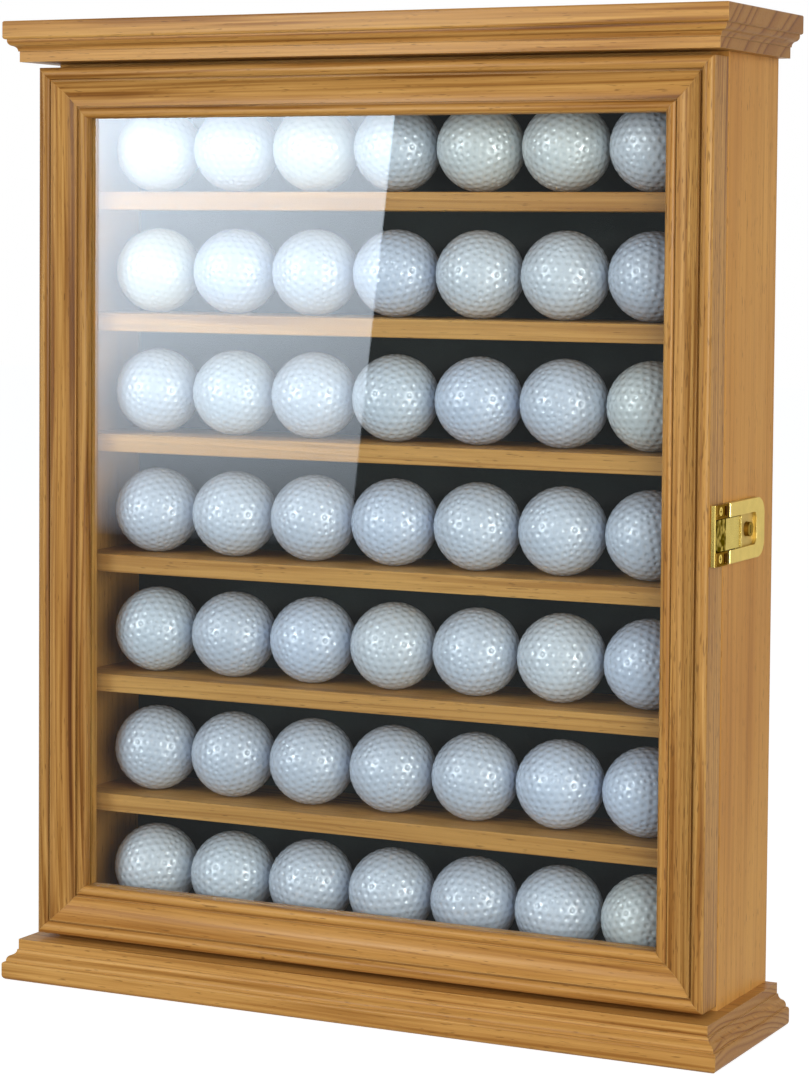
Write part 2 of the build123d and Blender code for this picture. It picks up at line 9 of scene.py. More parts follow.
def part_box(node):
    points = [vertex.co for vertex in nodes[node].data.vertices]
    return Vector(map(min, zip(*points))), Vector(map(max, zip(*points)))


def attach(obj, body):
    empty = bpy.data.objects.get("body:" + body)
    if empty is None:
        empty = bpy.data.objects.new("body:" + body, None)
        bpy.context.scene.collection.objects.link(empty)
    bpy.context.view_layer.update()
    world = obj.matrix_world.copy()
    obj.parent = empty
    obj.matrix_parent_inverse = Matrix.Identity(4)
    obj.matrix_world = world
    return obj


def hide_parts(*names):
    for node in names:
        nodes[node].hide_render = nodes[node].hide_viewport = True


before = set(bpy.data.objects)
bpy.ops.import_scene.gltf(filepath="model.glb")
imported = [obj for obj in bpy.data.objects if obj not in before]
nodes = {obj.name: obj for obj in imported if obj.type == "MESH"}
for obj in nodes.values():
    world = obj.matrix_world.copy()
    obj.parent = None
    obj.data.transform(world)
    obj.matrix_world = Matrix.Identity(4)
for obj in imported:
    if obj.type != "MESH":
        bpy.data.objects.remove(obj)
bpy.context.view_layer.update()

# ---------------------------------------------------------------- sides of the case
# Two planed pine boards on edge, grain upright, stained honey and lacquered satin.
# The shelves are housed in their inner faces.

HONEY_PINE = {"early": "#CB9953", "mid": "#B37E3D", "late": "#7E4F20", "fleck": "#4E2F12",
              "worn_and_highlit": "#D3A765"}
# sizes in metres
GROWTH_RING = 0.0055
STREAK_WIDTH = 0.0013
DARK_STREAK_WIDTH = 0.0034
DUCT_WIDTH = 0.0008
STAIN_PATCH = 0.09
PIN_KNOT_SPACING = 0.05
ARRIS = 0.0005
QUIRK = 0.0022
GRAIN_RELIEF = 0.0004
# repeats in a metre of the grain, and for the waves also across it
WAVES_PER_METRE = (1.8, 9, 9)
STREAKS_PER_METRE = 11
DARK_STREAKS_PER_METRE = 5
DUCTS_PER_METRE = 130
# how much the length counts in the patches of stain and in the taper of the trunk
PATCH_STRETCH = 0.35
TRUNK_TAPER = 0.05
# how fast wet and dry years take turns, and how many rings they shift the figure by
YEARS_CHANGE = 0.45
YEARS_SWING = 2.6
# the middle and the edge of a pin knot, as shares of the spacing
PIN_KNOT_MIDDLE = 0.012
PIN_KNOT_EDGE = 0.034
# how strongly each mark shows; the quirk mark is painted shade, and the arris mark is partly rubbed stain
# and partly painted highlight
MARK_STRENGTH = {"pale streak": 0.2, "streak": 0.26, "dark streak": 0.38, "duct": 0.5, "pin knot": 0.75,
                 "end grain": 0.4, "quirk": 0.14, "arris": 0.55}
DARK_IS_REDDER = (1.35, 1.9)
SATIN_LACQUER = {"smoothest": 0.36, "roughest": 0.52, "coat": 0.03, "coat roughness": 0.22}


def linear(text, alpha=1.0):
    """An sRGB hex colour as the linear one that a shader takes."""
    channels = [int(text[i:i + 2], 16) / 255 for i in (1, 3, 5)]
    return tuple(c / 12.92 if c <= 0.04045 else ((c + 0.055) / 1.055) ** 2.4 for c in channels) + (alpha,)


def add_node(tree, kind, inputs=None, **settings):
    """Add a node, set its properties, and set or link its inputs."""
    made = tree.nodes.new("ShaderNode" + kind)
    for key, value in settings.items():
        setattr(made, key, value)
    for key, value in (inputs or {}).items():
        if isinstance(value, bpy.types.NodeSocket):
            tree.links.new(value, made.inputs[key])
        else:
            made.inputs[key].default_value = value
    return made


def new_material(name):
    """An empty material with its output node."""
    material = bpy.data.materials.new(name)
    material.use_nodes = True
    material.node_tree.nodes.clear()
    return material, material.node_tree, add_node(material.node_tree, "OutputMaterial")


def set_ramp(ramp_node, stops):
    """Give a colour ramp its stops, as pairs of a place and a colour."""
    ramp = ramp_node.color_ramp
    while len(ramp.elements) > 1:
        ramp.elements.remove(ramp.elements[-1])
    ramp.elements[0].position, ramp.elements[0].color = stops[0]
    for place, colour in stops[1:]:
        ramp.elements.new(place).color = colour


def pine(name, along, heart, ring_width=GROWTH_RING, figure=1.0, streaks=1.0, tone=1.0, end_tone=0.82,
         sway=0.02, torn=1.0, lacquer=0.1):
    """Lacquered pine sawn from its own place in a log; the rings run through the whole board.

    along is the axis of the grain; heart is where the middle of the log lies across it; figure and
    streaks are how strongly rings and fibres show; tone and end_tone are how light the board and its
    end grain are; sway is how far the grain wanders; torn is how many flecks the planing left;
    lacquer is how much the surface shines.
    """
    material, tree, output = new_material(name)
    place = add_node(tree, "TexCoord")
    turn = {"x": (0, 0, 0), "z": (0, math.radians(90), 0)}[along]
    board = add_node(tree, "Mapping", {"Vector": place.outputs["Object"], "Rotation": turn})
    # slow waves in the rings, much longer along the trunk than across it
    wave_room = add_node(tree, "Mapping", {"Vector": board.outputs[0], "Scale": WAVES_PER_METRE})
    wave = add_node(tree, "TexNoise", {"Vector": wave_room.outputs[0], "Scale": 1.0, "Detail": 2.0,
                                       "Roughness": 0.4})
    centred = add_node(tree, "VectorMath", {0: wave.outputs["Color"], 1: (0.5, 0.5, 0.5)},
                       operation="SUBTRACT")
    bent = add_node(tree, "VectorMath", {0: centred.outputs[0], 1: (sway,) * 3, 2: board.outputs[0]},
                    operation="MULTIPLY_ADD")
    moved = add_node(tree, "VectorMath", {0: bent.outputs[0], 1: (0.0,) + tuple(heart)}, operation="ADD")
    across = add_node(tree, "VectorMath", {0: moved.outputs[0], 1: (TRUNK_TAPER, 1, 1)},
                      operation="MULTIPLY")
    radius = add_node(tree, "VectorMath", {0: across.outputs[0]}, operation="LENGTH")
    age = add_node(tree, "Math", {0: radius.outputs["Value"], 1: 1 / ring_width}, operation="MULTIPLY")
    # wet and dry years: rings of different width and darkness
    season = add_node(tree, "TexNoise", {"W": age.outputs[0], "Scale": YEARS_CHANGE, "Detail": 1.0},
                      noise_dimensions="1D")
    years = add_node(tree, "Math", {0: season.outputs["Fac"], 1: YEARS_SWING, 2: age.outputs[0]},
                     operation="MULTIPLY_ADD")
    ring = add_node(tree, "Math", {0: years.outputs[0]}, operation="FRACT")
    ring_colour = add_node(tree, "ValToRGB", {"Fac": ring.outputs[0]})
    early, mid, late = (linear(HONEY_PINE[k]) for k in ("early", "mid", "late"))
    set_ramp(ring_colour, [(0.0, mid), (0.15, early), (0.45, early), (0.8, mid), (0.94, late), (1.0, mid)])
    # the stain takes unevenly, so the figure is strong in one patch and faint in the next
    patch_room = add_node(tree, "Mapping", {"Vector": board.outputs[0], "Scale": (PATCH_STRETCH, 1, 1),
                                            "Location": tuple(heart) + (0.3,)})
    patch = add_node(tree, "TexNoise", {"Vector": patch_room.outputs[0], "Scale": 1 / STAIN_PATCH,
                                        "Detail": 3.0})
    # end grain drinks more stain and shows every ring
    surface = add_node(tree, "NewGeometry")
    axis = {"x": (1, 0, 0), "z": (0, 0, 1)}[along]
    facing = add_node(tree, "VectorMath", {0: surface.outputs["Normal"], 1: axis}, operation="DOT_PRODUCT")
    turned = add_node(tree, "Math", {0: facing.outputs["Value"]}, operation="ABSOLUTE")
    cut = add_node(tree, "MapRange", {"Value": turned.outputs[0], "From Min": 0.3, "From Max": 0.8})
    cut_tone = add_node(tree, "MapRange", {"Value": cut.outputs[0], "To Min": 1.0, "To Max": end_tone})
    cut_stain = add_node(tree, "MapRange", {"Value": cut.outputs[0],
                                            "To Max": MARK_STRENGTH["end grain"]})
    year_strength = add_node(tree, "MapRange", {"Value": season.outputs["Fac"], "From Min": 0.3,
                                                "From Max": 0.7, "To Min": 0.3 * figure,
                                                "To Max": 1.3 * figure})
    strength = add_node(tree, "Math", {0: patch.outputs["Fac"], 1: year_strength.outputs[0]},
                        operation="MULTIPLY")
    strength = add_node(tree, "Math", {0: strength.outputs[0], 1: cut.outputs[0]}, operation="MAXIMUM")
    ground = add_node(tree, "ValToRGB", {"Fac": patch.outputs["Fac"]})
    set_ramp(ground, [(0.32, early), (0.68, mid)])
    ringed = add_node(tree, "Mix", {0: strength.outputs[0], 6: ground.outputs[0],
                                    7: ring_colour.outputs[0]}, data_type="RGBA")
    ringed = add_node(tree, "Mix", {0: cut_stain.outputs[0], 6: ringed.outputs[2], 7: late},
                      data_type="RGBA")
    # fibres: pale and dark streaks along the grain, and here and there a broader dark one
    fibre_room = add_node(tree, "Mapping", {"Vector": bent.outputs[0],
                                            "Scale": (STREAKS_PER_METRE, 1 / STREAK_WIDTH,
                                                      1 / STREAK_WIDTH)})
    fibre = add_node(tree, "TexNoise", {"Vector": fibre_room.outputs[0], "Scale": 1.0, "Detail": 3.0,
                                        "Roughness": 0.6})
    fibre_tone = add_node(tree, "MapRange", {"Value": fibre.outputs["Fac"], "From Min": 0.25,
                                             "From Max": 0.75,
                                             "To Min": 1 - MARK_STRENGTH["streak"] * streaks,
                                             "To Max": 1 + MARK_STRENGTH["pale streak"] * streaks})
    band_room = add_node(tree, "Mapping", {"Vector": bent.outputs[0],
                                           "Scale": (DARK_STREAKS_PER_METRE, 1 / DARK_STREAK_WIDTH,
                                                     1 / DARK_STREAK_WIDTH)})
    band = add_node(tree, "TexNoise", {"Vector": band_room.outputs[0], "Scale": 1.0, "Detail": 2.0})
    band_tone = add_node(tree, "MapRange", {"Value": band.outputs["Fac"], "From Min": 0.54,
                                            "From Max": 0.68, "To Min": 1.0,
                                            "To Max": 1.0 - MARK_STRENGTH["dark streak"] * figure})
    # resin ducts, short dark dashes drawn a little broad so that they show, and a few pin knots
    duct_room = add_node(tree, "Mapping", {"Vector": bent.outputs[0],
                                           "Scale": (DUCTS_PER_METRE, 1 / DUCT_WIDTH, 1 / DUCT_WIDTH)})
    duct = add_node(tree, "TexNoise", {"Vector": duct_room.outputs[0], "Scale": 1.0, "Detail": 1.0})
    duct_mask = add_node(tree, "MapRange", {"Value": duct.outputs["Fac"], "From Min": 0.7 - 0.04 * torn,
                                            "From Max": 0.79 - 0.04 * torn, "To Min": 0.0,
                                            "To Max": MARK_STRENGTH["duct"]})
    knot = add_node(tree, "TexVoronoi", {"Vector": bent.outputs[0], "Scale": 1 / PIN_KNOT_SPACING})
    knot_mask = add_node(tree, "MapRange", {"Value": knot.outputs["Distance"], "From Min": PIN_KNOT_MIDDLE,
                                            "From Max": PIN_KNOT_EDGE,
                                            "To Min": MARK_STRENGTH["pin knot"], "To Max": 0.0})
    marks = add_node(tree, "Math", {0: duct_mask.outputs[0], 1: knot_mask.outputs[0]}, operation="MAXIMUM")
    # painted shade: the quirks are darkened where an occlusion test finds hollows
    hollow = add_node(tree, "AmbientOcclusion", {"Distance": QUIRK}, samples=6, only_local=True)
    painted_quirk_shade = add_node(tree, "MapRange", {"Value": hollow.outputs["AO"], "From Min": 0.35,
                                              "From Max": 0.9, "To Min": 1 - MARK_STRENGTH["quirk"],
                                              "To Max": 1.0})
    # the arrises are painted paler where the eased normal turns away: partly stain rubbed off, partly
    # painted highlight
    eased = add_node(tree, "Bevel", {"Radius": ARRIS}, samples=4)
    crest = add_node(tree, "VectorMath", {0: eased.outputs[0], 1: surface.outputs["Normal"]},
                     operation="DOT_PRODUCT")
    rubbed = add_node(tree, "MapRange", {"Value": crest.outputs["Value"], "From Min": 0.99, "From Max": 0.9,
                                         "To Min": 0.0, "To Max": MARK_STRENGTH["arris"]})
    tones = add_node(tree, "Math", {0: fibre_tone.outputs[0], 1: band_tone.outputs[0]},
                     operation="MULTIPLY")
    tones = add_node(tree, "Mix", {0: cut.outputs[0], 2: tones.outputs[0], 3: 1.0}, data_type="FLOAT")
    tones = add_node(tree, "Math", {0: tones.outputs[0], 1: cut_tone.outputs[0]}, operation="MULTIPLY")
    tones = add_node(tree, "Math", {0: tones.outputs[0], 1: painted_quirk_shade.outputs[0]}, operation="MULTIPLY")
    # darker wood is also redder
    green, blue = (add_node(tree, "Math", {0: tones.outputs[0], 1: power}, operation="POWER")
                   for power in DARK_IS_REDDER)
    tint = add_node(tree, "CombineXYZ", {"X": tones.outputs[0], "Y": green.outputs[0],
                                         "Z": blue.outputs[0]})
    streaked = add_node(tree, "VectorMath", {0: ringed.outputs[2], 1: tint.outputs[0]},
                        operation="MULTIPLY")
    streaked = add_node(tree, "VectorMath", {0: streaked.outputs[0], "Scale": tone}, operation="SCALE")
    marked = add_node(tree, "Mix", {0: marks.outputs[0], 6: streaked.outputs[0],
                                    7: linear(HONEY_PINE["fleck"])}, data_type="RGBA")
    worn_and_highlit = add_node(tree, "Mix", {0: rubbed.outputs[0], 6: marked.outputs[2],
                                  7: linear(HONEY_PINE["worn_and_highlit"])}, data_type="RGBA")
    grain_height = add_node(tree, "Math", {0: ring.outputs[0], 1: -0.3, 2: fibre.outputs["Fac"]},
                            operation="MULTIPLY_ADD")
    relief = add_node(tree, "Bump", {"Height": grain_height.outputs[0], "Strength": 0.22 * streaks,
                                     "Distance": GRAIN_RELIEF, "Normal": eased.outputs[0]})
    roughness = add_node(tree, "MapRange", {"Value": fibre.outputs["Fac"], "From Min": 0.2,
                                            "From Max": 0.8, "To Min": SATIN_LACQUER["smoothest"],
                                            "To Max": SATIN_LACQUER["roughest"]})
    shader = add_node(tree, "BsdfPrincipled", {"Base Color": worn_and_highlit.outputs[2],
                                               "Roughness": roughness.outputs[0],
                                               "Specular IOR Level": lacquer,
                                               "Coat Weight": SATIN_LACQUER["coat"],
                                               "Coat Roughness": SATIN_LACQUER["coat roughness"],
                                               "Normal": relief.outputs[0]})
    tree.links.new(shader.outputs[0], output.inputs["Surface"])
    return material


def finish_node(name, material):
    """Give a carried-over CAD piece its finish."""
    piece = nodes[name]
    piece.data.materials.clear()
    piece.data.materials.append(material)


SIDE_RING = 0.035

finish_node("left_side_panel",
            pine("pine_left_side", "z", heart=(0.25, 0.05), ring_width=SIDE_RING, figure=0.3,
                 streaks=0.25, sway=0.01, lacquer=0.05))
finish_node("right_side_panel",
            pine("pine_right_side", "z", heart=(0.25, 0.05), ring_width=SIDE_RING, figure=0.35,
                 streaks=0.3, tone=1.19, sway=0.01, lacquer=0.05))

# ---------------------------------------------------------------- boards and shelves inside
# Thin pine boards running from side to side, let into dadoes, stained with the rest.
# Their eased front edges catch the light.

SHELVES = 6
SHELF_HEART = (0.02, 0.12)
SHELF_HEART_STEP = (0.011, 0.017)

for number in range(1, SHELVES + 1):
    heart = [first + step * number for first, step in zip(SHELF_HEART, SHELF_HEART_STEP)]
    finish_node(f"shelf_{number}",
                pine(f"pine_shelf_{number}", "x", heart=heart, figure=0.7, streaks=0.6))
finish_node("case_top_board", pine("pine_top_inside", "x", heart=(0.07, -0.2)))
finish_node("case_bottom_board", pine("pine_bottom_inside", "x", heart=(-0.05, 0.2)))

# ---------------------------------------------------------------- crown and base
# Thick pine boards routed on the front and both ends; the ends show the growth rings.
# Dowels hold them to the sides.

CROWN_RING = 0.0095
BASE_RING = 0.0042

finish_node("crown_board",
            pine("pine_crown", "x", heart=(-0.15, -0.2655), ring_width=CROWN_RING, figure=1.15,
                 tone=0.97, sway=0.006))
finish_node("base_board",
            pine("pine_base", "x", heart=(0.03, 0.24), ring_width=BASE_RING, figure=0.9,
                 streaks=0.75, end_tone=0.96))

# turned beech is pale and even, with short dark rays along the grain
BEECH = {"body": "#D9B98C", "ray": "#B98F5F"}
RAY_LENGTH = 0.002
RAY_WIDTH = RAY_LENGTH / 4

beech, tree, output = new_material("turned_beech")
place = add_node(tree, "TexCoord")
ray_room = add_node(tree, "Mapping", {"Vector": place.outputs["Object"],
                                      "Scale": (1 / RAY_WIDTH, 1 / RAY_WIDTH, 1 / RAY_LENGTH)})
rays = add_node(tree, "TexNoise", {"Vector": ray_room.outputs[0], "Scale": 1.0, "Detail": 2.0})
ray_tone = add_node(tree, "ValToRGB", {"Fac": rays.outputs["Fac"]})
set_ramp(ray_tone, [(0.4, linear(BEECH["body"])), (0.7, linear(BEECH["ray"]))])
shader = add_node(tree, "BsdfPrincipled", {"Base Color": ray_tone.outputs[0], "Roughness": 0.6})
tree.links.new(shader.outputs[0], output.inputs["Surface"])
finish_node("carcass_dowels", beech)

# ---------------------------------------------------------------- back and its lining
# A thin plywood back, and in front of it a lining of stiff felt, nearly black with a touch of
# green. The felt is what shows between the balls.

# rotary-cut veneer has a broad wild figure, drawn out along the grain
PLYWOOD = {"pale": "#D8B98A", "line": "#B48C5A"}
PLY_FIGURE = 0.011
PLY_STRETCH = 0.07

plywood, tree, output = new_material("rotary_cut_plywood")
place = add_node(tree, "TexCoord")
veneer_room = add_node(tree, "Mapping", {"Vector": place.outputs["Object"], "Scale": (1, 1, PLY_STRETCH)})
veneer = add_node(tree, "TexNoise", {"Vector": veneer_room.outputs[0], "Scale": 1 / PLY_FIGURE,
                                     "Detail": 4.0, "Distortion": 0.25})
veneer_tone = add_node(tree, "ValToRGB", {"Fac": veneer.outputs["Fac"]})
set_ramp(veneer_tone, [(0.35, linear(PLYWOOD["pale"])), (0.75, linear(PLYWOOD["line"]))])
shader = add_node(tree, "BsdfPrincipled", {"Base Color": veneer_tone.outputs[0], "Roughness": 0.65})
tree.links.new(shader.outputs[0], output.inputs["Surface"])
finish_node("back_panel", plywood)

# pressed wool is dull and nearly black, with the tips of its pile a little paler
FELT = {"pile": "#151C1A", "tip": "#222C29"}
FELT_FIBRE = 0.0007
FELT_NAP = 0.0005

felt, tree, output = new_material("pressed_wool_felt")
place = add_node(tree, "TexCoord")
pile = add_node(tree, "TexNoise", {"Vector": place.outputs["Object"], "Scale": 1 / FELT_FIBRE,
                                   "Detail": 4.0, "Roughness": 0.7})
pile_tone = add_node(tree, "ValToRGB", {"Fac": pile.outputs["Fac"]})
set_ramp(pile_tone, [(0.3, linear(FELT["pile"])), (0.75, linear(FELT["tip"]))])
nap = add_node(tree, "Bump", {"Height": pile.outputs["Fac"], "Strength": 0.5, "Distance": FELT_NAP})
shader = add_node(tree, "BsdfPrincipled", {"Base Color": pile_tone.outputs[0], "Roughness": 0.95,
                                           "Sheen Weight": 0.15, "Sheen Roughness": 0.5,
                                           "Normal": nap.outputs[0]})
tree.links.new(shader.outputs[0], output.inputs["Surface"])
finish_node("back_lining", felt)

# ---------------------------------------------------------------- golf balls
# Moulded covers with 362 round dimples in an icosahedral pattern, painted and clear-coated.
# They are used balls, so their whites differ a little and carry scuffs.

BALL_ROWS = 7
BALLS_PER_ROW = 7
DIMPLE_ROWS = 6
DIMPLE_SHARE = 0.96
DIMPLE_DEPTH = 0.00043
# how much darker the dimples are painted at their deepest: painted shade
DIMPLE_PAINTED_SHADE = 0.09
DIMPLE_STEPS = ((1.0, 0.0), (0.64, 0.6), (0.28, 1.0))
EVENING_PASSES = 7
# shares of the spacing of the dimples
MERGE_REACH = 0.02
RIM_MARGIN = 0.04
STEP_INSET = 0.05
WHITES = ["#CFDAE8", "#CCD6E6", "#D3DBE6", "#C9D3E4", "#D5DCDF", "#CDD9EE"]
SCUFF = "#8F9190"
HAZES_PER_METRE = 60.0
SCUFFS_PER_METRE = 150.0
SCUFF_STRETCH = (1, 1, 2.6)
SCUFF_TURN = (0.5, 0.3, 0.9)
SCUFF_STRENGTH = 0.3
COVER = {"smoothest": 0.24, "roughest": 0.34, "clear coat roughness": 0.03}

row_low, row_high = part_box("golf_balls_row_1")
ball_radius = (row_high.z - row_low.z) / 2
ball_pitch = (row_high.x - row_low.x - 2 * ball_radius) / (BALLS_PER_ROW - 1)


def dimpled_ball():
    """One ball round the origin: an icosahedron's cells, each pressed into a shallow round bowl."""
    bm = bmesh.new()
    bmesh.ops.create_icosphere(bm, subdivisions=1, radius=ball_radius)
    bmesh.ops.subdivide_edges(bm, edges=bm.edges[:], cuts=DIMPLE_ROWS - 1, use_grid_fill=True)
    for _ in range(EVENING_PASSES):
        for vert in bm.verts:
            vert.co = vert.co.normalized() * ball_radius
        bmesh.ops.smooth_vert(bm, verts=bm.verts[:], factor=0.5, use_axis_x=True, use_axis_y=True,
                              use_axis_z=True)
    spacing = sum(edge.calc_length() for edge in bm.edges) / len(bm.edges)
    bmesh.ops.bevel(bm, geom=bm.verts[:], offset=50.0, offset_type="PERCENT", affect="VERTICES",
                    segments=1, profile=0.5, material=-1, clamp_overlap=False)
    bmesh.ops.remove_doubles(bm, verts=bm.verts[:], dist=spacing * MERGE_REACH)
    for vert in bm.verts:
        vert.co = vert.co.normalized() * ball_radius
    pads = [face for face in bm.faces if len(face.verts) > 3]
    bmesh.ops.inset_individual(bm, faces=pads, thickness=spacing * RIM_MARGIN, depth=0.0,
                               use_even_offset=True)
    bmesh.ops.subdivide_edges(bm, edges=list({edge for face in pads for edge in face.edges}), cuts=1)
    reach = {}
    for face in pads:
        middle = face.calc_center_median().normalized() * ball_radius
        corners = sorted((vert.co - middle).length for vert in face.verts)
        reach[face] = middle, DIMPLE_SHARE * sum(corners[:len(corners) // 2]) / (len(corners) // 2)
    # the rim, half-way down the wall and the edge of the floor, as shares of the radius and the depth
    for share, sunk in DIMPLE_STEPS:
        if sunk:
            bmesh.ops.inset_individual(bm, faces=pads, thickness=spacing * STEP_INSET, depth=0.0)
        for face in pads:
            middle, radius = reach[face]
            for vert in face.verts:
                out = (vert.co - middle).normalized() * radius * share
                vert.co = (middle + out).normalized() * (ball_radius - DIMPLE_DEPTH * sunk)
    bmesh.ops.recalc_face_normals(bm, faces=bm.faces[:])
    mesh = bpy.data.meshes.new("ball_cover_mesh")
    bm.to_mesh(mesh)
    bm.free()
    return mesh


def ball_cover():
    """Painted ionomer under a clear coat; the tint comes from each ball, with painted shade deepening into
    its dimples, and the scuffs come from noise.
    """
    material, tree, output = new_material("coated_ball_cover")
    tint = add_node(tree, "Attribute", attribute_name="cover_white_and_dimple_shade")
    place = add_node(tree, "TexCoord")
    haze = add_node(tree, "TexNoise", {"Vector": place.outputs["Object"], "Scale": HAZES_PER_METRE,
                                       "Detail": 4.0})
    haze_tone = add_node(tree, "MapRange", {"Value": haze.outputs["Fac"], "From Min": 0.3, "From Max": 0.7,
                                            "To Min": 0.93, "To Max": 1.0})
    cleaned = add_node(tree, "VectorMath", {0: tint.outputs["Color"], "Scale": haze_tone.outputs[0]},
                       operation="SCALE")
    scuff_room = add_node(tree, "Mapping", {"Vector": place.outputs["Object"], "Scale": SCUFF_STRETCH,
                                            "Rotation": SCUFF_TURN})
    scuffs = add_node(tree, "TexNoise", {"Vector": scuff_room.outputs[0], "Scale": SCUFFS_PER_METRE,
                                         "Detail": 5.0, "Roughness": 0.65})
    scuff_mask = add_node(tree, "MapRange", {"Value": scuffs.outputs["Fac"], "From Min": 0.66,
                                             "From Max": 0.74, "To Min": 0.0,
                                             "To Max": SCUFF_STRENGTH})
    covered = add_node(tree, "Mix", {0: scuff_mask.outputs[0], 6: cleaned.outputs[0], 7: linear(SCUFF)},
                       data_type="RGBA")
    roughness = add_node(tree, "MapRange", {"Value": haze.outputs["Fac"], "From Min": 0.3,
                                            "From Max": 0.7, "To Min": COVER["smoothest"],
                                            "To Max": COVER["roughest"]})
    shader = add_node(tree, "BsdfPrincipled", {"Base Color": covered.outputs[2], "IOR": 1.5,
                                               "Roughness": roughness.outputs[0], "Coat Weight": 1.0,
                                               "Coat Roughness": COVER["clear coat roughness"]})
    tree.links.new(shader.outputs[0], output.inputs["Surface"])
    return material


cover = ball_cover()
ball_mesh = dimpled_ball()
chance = random.Random(49)
for row in range(1, BALL_ROWS + 1):
    low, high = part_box(f"golf_balls_row_{row}")
    bm = bmesh.new()
    white_and_shade_layer = bm.verts.layers.float_color.new("cover_white_and_dimple_shade")
    for place_in_row in range(BALLS_PER_ROW):
        first = len(bm.verts)
        bm.from_mesh(ball_mesh)
        bm.verts.ensure_lookup_table()
        new_verts = bm.verts[first:]
        axis = Vector((chance.gauss(0, 1), chance.gauss(0, 1), chance.gauss(0, 1))).normalized()
        spin = Matrix.Rotation(chance.uniform(0, math.tau), 4, axis)
        centre = Vector((low.x + ball_radius + place_in_row * ball_pitch, (low.y + high.y) / 2,
                         low.z + ball_radius))
        bmesh.ops.transform(bm, matrix=Matrix.Translation(centre) @ spin, verts=new_verts)
        white = linear(chance.choice(WHITES))
        # painted shade: each dimple is coloured darker the deeper it sinks
        for vert in new_verts:
            sunk = (ball_radius - (vert.co - centre).length) / DIMPLE_DEPTH
            vert[white_and_shade_layer] = Vector(white) * (1 - DIMPLE_PAINTED_SHADE * sunk)
    mesh = bpy.data.meshes.new(f"ball_row_{row}_mesh")
    bm.to_mesh(mesh)
    bm.free()
    mesh.shade_smooth()
    mesh.materials.append(cover)
    piece = bpy.data.objects.new(f"ball_row_{row}", mesh)
    bpy.context.scene.collection.objects.link(piece)
    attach(piece, "cabinet")
    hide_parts(f"golf_balls_row_{row}")

# ---------------------------------------------------------------- door frame
# Four lengths of moulded pine mitred at the corners, each with its own grain.
# Beads of the same pine hold the glass from behind.

BOTTOM_RAIL_RING = 0.006
LEFT_STILE_RING = 0.0045
RIGHT_STILE_RING = 0.0035

finish_node("door_top_rail", pine("pine_door_top", "x", heart=(0.05, -0.52), figure=1.2, tone=0.9))
finish_node("door_bottom_rail",
            pine("pine_door_bottom", "x", heart=(0.02, 0.12), ring_width=BOTTOM_RAIL_RING, figure=0.8,
                 streaks=0.8))
finish_node("door_left_stile",
            pine("pine_door_left", "z", heart=(0.10, 0.22), ring_width=LEFT_STILE_RING, figure=1.3,
                 streaks=1.3, tone=0.82))
finish_node("door_right_stile",
            pine("pine_door_right", "z", heart=(0.08, 0.115), ring_width=RIGHT_STILE_RING, figure=1.2,
                 streaks=1.25, tone=0.9, torn=2.5))
for side, along in (("top", "x"), ("bottom", "x"), ("left", "z"), ("right", "z")):
    finish_node(f"glass_bead_{side}", pine(f"pine_bead_{side}", along, heart=(0.05, 0.11)))

# ---------------------------------------------------------------- glass
# A plain pane of float glass, clear and mirror-smooth. It mirrors the soft box, and light from
# the lamps falls straight through it.

GLASS_TINT = "#F9FCFB"

float_glass, tree, output = new_material("float_glass")
pane = add_node(tree, "BsdfPrincipled", {"Base Color": linear(GLASS_TINT), "Roughness": 0.0, "IOR": 1.5,
                                         "Transmission Weight": 1.0})
through = add_node(tree, "BsdfTransparent", {"Color": linear(GLASS_TINT)})
ray = add_node(tree, "LightPath")
lamp_ray = add_node(tree, "Math", {0: ray.outputs["Is Shadow Ray"], 1: ray.outputs["Is Diffuse Ray"]},
                    operation="MAXIMUM")
lit = add_node(tree, "MixShader", {0: lamp_ray.outputs[0], 1: pane.outputs[0], 2: through.outputs[0]})
tree.links.new(lit.outputs[0], output.inputs["Surface"])
finish_node("glass_pane", float_glass)

# ---------------------------------------------------------------- hinges and latch
# Brass fittings: satin hinges, a satin plate with a rougher recess, a satin flap whose hooked nose is
# painted dark with bright patches as painted reflection, a keeper painted dark as painted reflection
# with a bright lip, a key plug painted dark as painted reflection, and polished screws.

# the nose, keeper and plug colours are dark to stand for the dark things these parts mirror: painted
# reflection
BRASS = {"satin": "#D6C079", "flap": "#CDBB74", "polished": "#E6CB72", "tarnish": "#8E7135",
         "recess": "#BCA467", "nose": "#2A200C", "keeper": "#5A3214", "plug": "#806734",
         "edge": "#EADBB4"}
SATIN_GRIT = 0.0003
TARNISH_PATCH = 0.006
FITTING_EDGE = 0.00025
FITTING_HOLLOW = 0.0009
# size of the bright patches painted on the dark nose: painted reflection
GLINT_PATCH = 0.003
ZONE_BLEND = 0.0002
RUB_RELIEF = 0.0001
RUB_STRETCH = (1, 0.15, 1)
TARNISH_IN_HOLLOWS = 0.7
CLOUDING = {"darkest": 0.9, "palest": 1.03}


